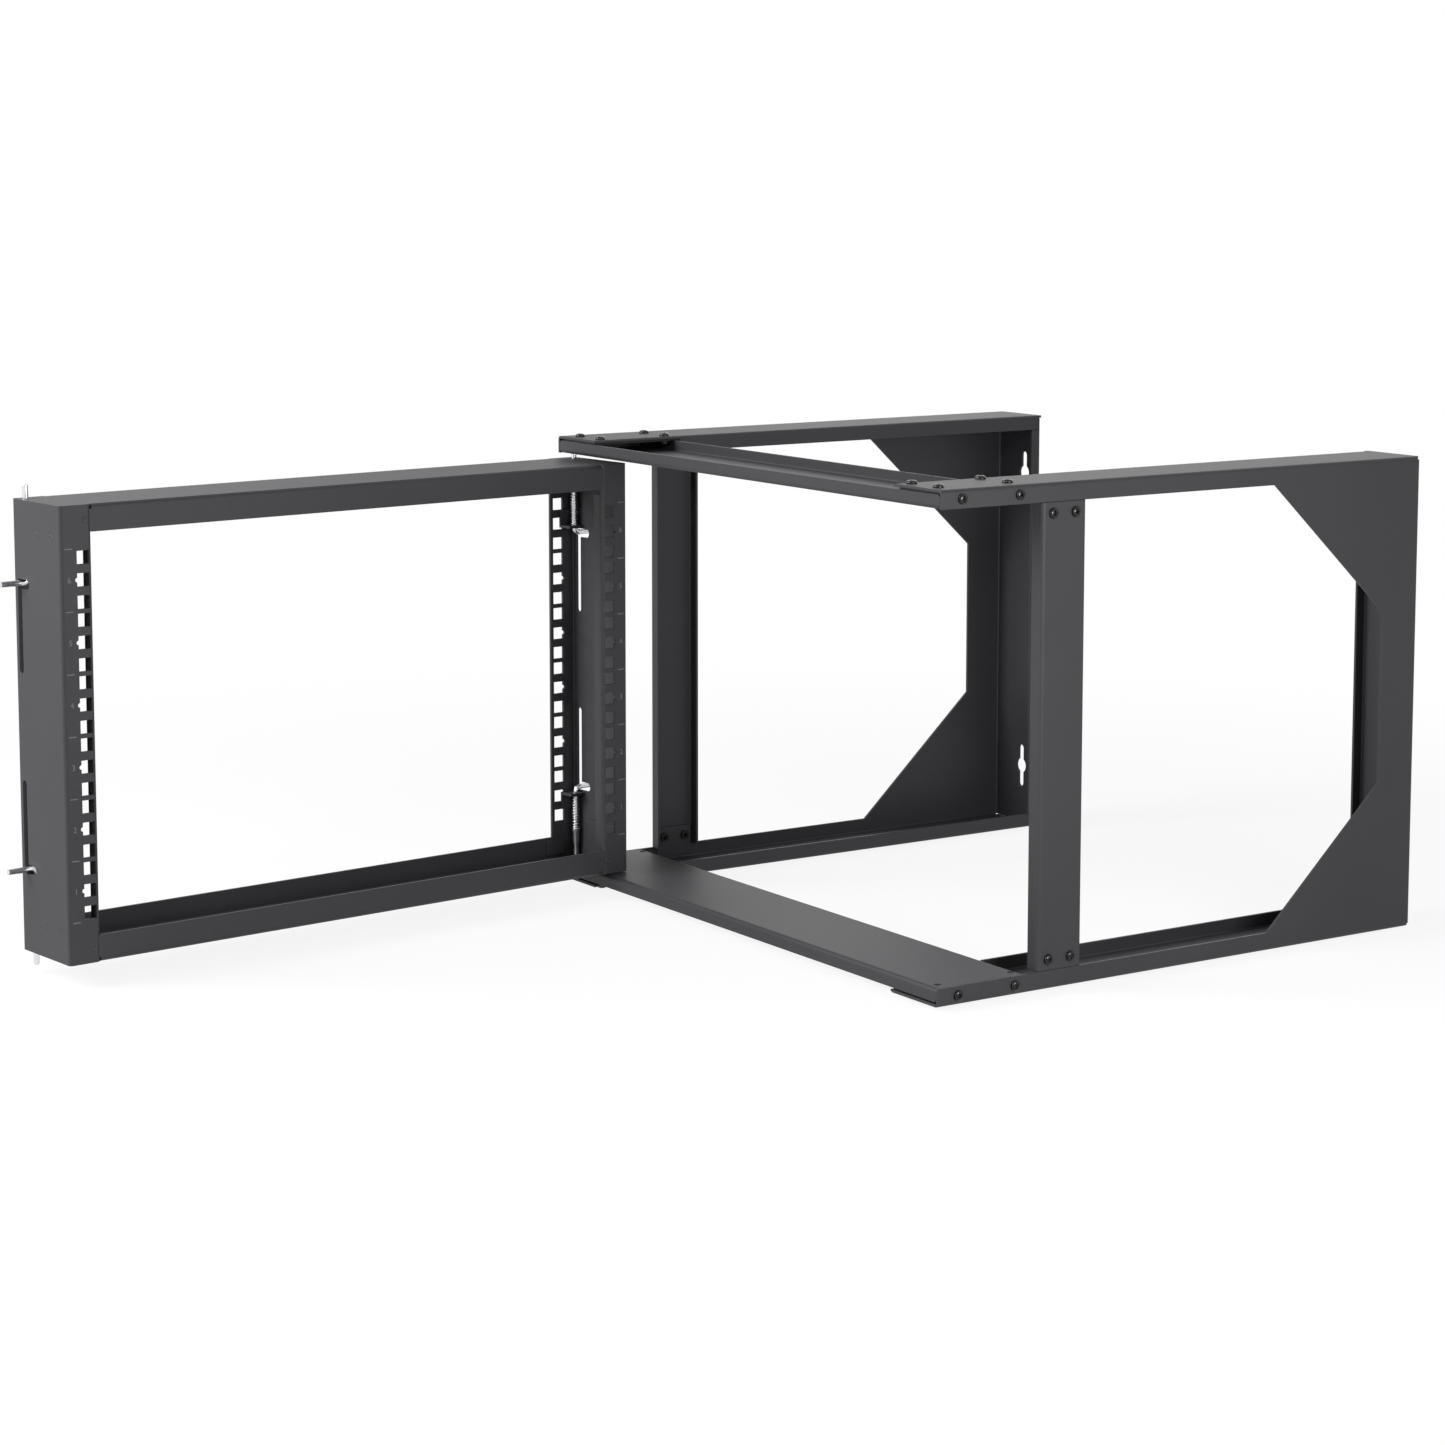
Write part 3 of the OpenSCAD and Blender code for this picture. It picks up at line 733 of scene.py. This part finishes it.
class RackPrintUnits(bpy.types.Operator):
    """Prints thin unit lines and small unit numbers beside the square holes"""

    bl_idname = "rack.print_units"
    bl_label = "Print the unit marks"

    line_inset = 0.0032     # from the upright's edge to a line, in metres
    line_half = 0.00035     # half a line's width
    digit_inset = 0.0064    # from the upright's edge to the middle of a number
    letter_share = 1.4      # letter size for each metre of a number's height

    def execute(self, context):
        sizes = context.scene.rack_sizes
        grey = finish_from(unit_print, context)
        place = swing_place()
        low, high = in_swing("swing_upright_hinge", "swing_upright_free")
        middle = (high.z + low.z) / 2
        face = high.y + PRINT_LIFT
        digits = [self.digit_mesh(str(k + 1), sizes.mark_height) for k in range(UNITS)]

        def build(bm):
            for free in (False, True):
                edge = high.x if free else low.x
                inward = -1 if free else 1
                for k in range(UNITS + 1):
                    z = middle + (k - UNITS / 2) * UNIT_HEIGHT
                    a = edge + inward * self.line_inset
                    b = a + inward * sizes.mark_line
                    self.bar(bm, place, min(a, b), max(a, b), face, z)
                    if k < UNITS:
                        self.stamp(bm, place, digits[k], edge + inward * self.digit_inset,
                                   face, z + UNIT_HEIGHT / 2)

        marks = piece_from("unit_marks", build, smooth=0)
        clad(marks, grey)
        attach(marks, "swing_frame")
        for mesh in digits:
            bpy.data.meshes.remove(mesh)
        return {"FINISHED"}

    def digit_mesh(self, text, height):
        """The flat mesh of one number."""
        curve = bpy.data.curves.new("digit", "FONT")
        curve.body = text
        curve.size = height * self.letter_share
        curve.align_x = "CENTER"
        curve.align_y = "CENTER"
        curve.resolution_u = 3
        thing = bpy.data.objects.new("digit", curve)
        bpy.context.scene.collection.objects.link(thing)
        graph = bpy.context.evaluated_depsgraph_get()
        mesh = bpy.data.meshes.new_from_object(thing.evaluated_get(graph))
        bpy.data.objects.remove(thing)
        bpy.data.curves.remove(curve)
        return mesh

    def bar(self, bm, place, u0, u1, v, z):
        """A thin printed line from u0 to u1."""
        low, high = z - self.line_half, z + self.line_half
        corners = [(u0, low), (u0, high), (u1, high), (u1, low)]
        bm.faces.new([bm.verts.new(place @ Vector((u, v, h))) for u, h in corners])

    def stamp(self, bm, place, mesh, u, v, z):
        """A number with its middle at a point of the equipment frame."""
        start = len(bm.verts)
        bm.from_mesh(mesh)
        bm.verts.ensure_lookup_table()
        for vert in bm.verts[start:]:
            vert.co = place @ Vector((u - vert.co.x, v, z + vert.co.y))


class RackPressWelds(bpy.types.Operator):
    """Presses the small round weld marks where rails and uprights overlap"""

    bl_idname = "rack.press_welds"
    bl_label = "Press the weld marks"

    # Radius and height of a weld mark from its middle out, in metres
    outline = [(0.0, 0.00002), (0.0014, 0.00003), (0.0019, 0.00016), (0.0023, 0.00022),
               (0.0027, 0.00014), (0.0030, SINK)]
    sides = 28
    face_inset = (0.0195, 0.011)    # on the flanges: in from the end and from the rail's edge
    end_inset = 0.024               # on the end walls: in from the rail's edge
    end_rows = (0.036, 0.056)       # on the end walls: back from the rear face

    def execute(self, context):
        coat = finish_from(grained_coat, context)
        place = swing_place()
        low, high = in_swing("swing_upright_hinge", "swing_upright_free")
        face_u, face_z = self.face_inset
        end_z = self.end_inset

        def press(bm, spot, angle, axis):
            turn = Matrix.Rotation(angle, 4, axis)
            turned(bm, self.outline, self.sides, place @ Matrix.Translation(spot) @ turn)

        def build(bm):
            for u in (low.x + face_u, high.x - face_u):
                for z in (low.z + face_z, high.z - face_z):
                    press(bm, (u, high.y, z), -math.pi / 2, "X")
                    press(bm, (u, low.y, z), math.pi / 2, "X")
            for u, side in ((high.x, 1), (low.x, -1)):
                for z in (low.z + end_z, high.z - end_z):
                    for v in self.end_rows:
                        press(bm, (u, low.y + v, z), side * math.pi / 2, "Y")

        welds = piece_from("weld_marks", build, smooth=60)
        clad(welds, coat)
        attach(welds, "swing_frame")
        return {"FINISHED"}


class RackGrindSeams(bpy.types.Operator):
    """Covers the welded and ground joints between rails and uprights with smooth coat"""

    bl_idname = "rack.grind_seams"
    bl_label = "Grind the seams"

    reach = (0.0032, 0.0194)    # a seam's ends, from the rail's edge, in metres
    half = 0.0016               # half the flat of a seam
    slope = 0.0003              # width of each slope beside it

    def execute(self, context):
        smooth = finish_from(ground_seam, context)
        place = swing_place()
        low, high = in_swing("swing_upright_hinge", "swing_upright_free")
        inner, outer = in_swing("swing_upright_hinge")
        width = outer.x - inner.x
        near, far = self.reach

        def build(bm):
            for joint in (low.x + width, high.x - width):
                for z0, z1 in ((low.z + near, low.z + far), (high.z - far, high.z - near)):
                    for face, out in ((high.y, 1), (low.y, -1)):
                        self.strip(bm, place, joint, z0, z1, face, out)

        seams = piece_from("ground_seams", build, smooth=0)
        clad(seams, smooth)
        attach(seams, "swing_frame")
        return {"FINISHED"}

    def strip(self, bm, place, joint, z0, z1, face, out):
        """A low flat ridge over one joint, from z0 to z1."""
        half, rim = self.half, self.half + self.slope
        steps = [(-rim, SINK), (-half, PRINT_LIFT), (half, PRINT_LIFT), (rim, SINK)]
        rows = []
        for z in (z0, z1):
            rows.append([bm.verts.new(place @ Vector((joint + u, face + out * v, z)))
                         for u, v in steps])
        for k in range(3):
            bm.faces.new((rows[0][k], rows[0][k + 1], rows[1][k + 1], rows[1][k]))


class RackSetStage(bpy.types.Operator):
    """Lays the floor and sets the lights, the white surround and the camera"""

    bl_idname = "rack.set_stage"
    bl_label = "Set the stage"

    def execute(self, context):
        studio = context.scene.rack_studio
        low, high = CAD_BOX
        centre = Vector([(a + b) / 2 for a, b in zip(low, high)])
        self.floor(studio, centre, low[2])
        self.surround(context, studio)
        for name, (spot, size) in LAMPS.items():
            self.lamp(name + "_light", spot, centre, size, getattr(studio, name + "_power"))
        self.camera(context, studio)
        context.scene.view_settings.view_transform = "Standard"
        return {"FINISHED"}

    def floor(self, studio, centre, level):
        """Pale paper that keeps the rack's shadow and fades to white away from it."""
        spot = (centre.x, centre.y, level)

        def build(bm):
            bmesh.ops.create_grid(bm, x_segments=2, y_segments=2, size=FLOOR_HALF,
                                  matrix=Matrix.Translation(spot))
        plane = piece_from("floor", build, smooth=0)
        f = Finish("floor_paper")
        place = f.place()
        fibre = f.noise(place, 180, *GRAIN)
        pale = studio.floor_color
        paper = f.node("ShaderNodeBsdfPrincipled", None, {
            "Base Color": f.blend(fibre, shade_of(pale, 0.985), pale),
            "Roughness": 0.9, "Specular IOR Level": 0.0})
        white = f.node("ShaderNodeEmission", None, {"Color": (1, 1, 1, 1), "Strength": 1.0})
        spread = f.node("ShaderNodeVectorMath", {"operation": "DISTANCE"}, {
            0: place, 1: spot}, out=1)
        fade = f.node("ShaderNodeMapRange", {"interpolation_type": "SMOOTHSTEP"}, {
            "Value": spread, "From Min": FLOOR_FADE[0], "From Max": FLOOR_FADE[1],
            "To Min": FLOOR_SHADE, "To Max": 1.0})
        shown = f.node("ShaderNodeMixShader", None, {
            0: f.white_rays() * fade, 1: paper, 2: white})
        f.node("ShaderNodeOutputMaterial", None, {"Surface": shown})
        clad(plane, f.material)

    def surround(self, context, studio):
        """White where it is seen or mirrored, and a low even light elsewhere."""
        world = bpy.data.worlds.new("studio")
        world.use_nodes = True
        context.scene.world = world
        f = Finish("studio", world.node_tree)
        level = f.white_rays() * (1 - studio.ambient) + studio.ambient
        sky = f.node("ShaderNodeBackground", None, {"Color": (1, 1, 1, 1), "Strength": level})
        f.node("ShaderNodeOutputWorld", None, {"Surface": sky})

    def lamp(self, name, spot, aim, size, power):
        """A soft disk of light that the camera doesn't see."""
        light = bpy.data.lights.new(name, "AREA")
        light.shape = "DISK"
        light.size = size
        light.energy = power
        lamp = bpy.data.objects.new(name, light)
        bpy.context.scene.collection.objects.link(lamp)
        lamp.location = spot
        lamp.rotation_euler = (Vector(aim) - Vector(spot)).to_track_quat("-Z", "Y").to_euler()
        lamp.visible_camera = False

    def camera(self, context, studio):
        """The camera at the front right of the rack."""
        lens = bpy.data.cameras.new("camera")
        lens.lens = studio.focal
        lens.sensor_width = SENSOR
        lens.shift_y = EYE_SHIFT
        lens.clip_end = 60
        lens.dof.use_dof = False
        eye = bpy.data.objects.new("camera", lens)
        context.scene.collection.objects.link(eye)
        eye.location = EYE
        level = math.cos(EYE_PITCH)
        ahead = Vector((-math.cos(EYE_YAW) * level, math.sin(EYE_YAW) * level,
                        -math.sin(EYE_PITCH)))
        eye.rotation_euler = ahead.to_track_quat("-Z", "Y").to_euler()
        context.scene.camera = eye


STEPS = [RackCoatSheets, RackPlatePins, RackWindSprings, RackTurnScrews, RackPlateNuts,
         RackPrintUnits, RackPressWelds, RackGrindSeams, RackSetStage]


class RackPanel(bpy.types.Panel):
    """Lists the steps that finish the rack"""

    bl_idname = "VIEW3D_PT_rack"
    bl_label = "Open frame rack"
    bl_space_type = "VIEW_3D"
    bl_region_type = "UI"
    bl_category = "Rack"

    def draw(self, context):
        for group in ("rack_finish", "rack_sizes", "rack_studio"):
            settings = getattr(context.scene, group)
            box = self.layout.box()
            for key in settings.__annotations__:
                box.prop(settings, key)
        for step in STEPS:
            self.layout.operator(step.bl_idname)


GROUPS = [("rack_finish", RackFinish), ("rack_sizes", RackSizes), ("rack_studio", RackStudio)]


def register():
    for name, group in GROUPS:
        bpy.utils.register_class(group)
        setattr(bpy.types.Scene, name, PointerProperty(type=group))
    for part in STEPS + [RackPanel]:
        bpy.utils.register_class(part)


def unregister():
    for part in reversed(STEPS + [RackPanel]):
        bpy.utils.unregister_class(part)
    for name, group in reversed(GROUPS):
        delattr(bpy.types.Scene, name)
        bpy.utils.unregister_class(group)


def main():
    register()
    bpy.ops.rack.coat_sheets()
    bpy.ops.rack.plate_pins()
    bpy.ops.rack.wind_springs()
    bpy.ops.rack.turn_screws()
    bpy.ops.rack.plate_nuts()
    bpy.ops.rack.print_units()
    bpy.ops.rack.press_welds()
    bpy.ops.rack.grind_seams()
    bpy.ops.rack.set_stage()


if __name__ == "__main__":
    main()
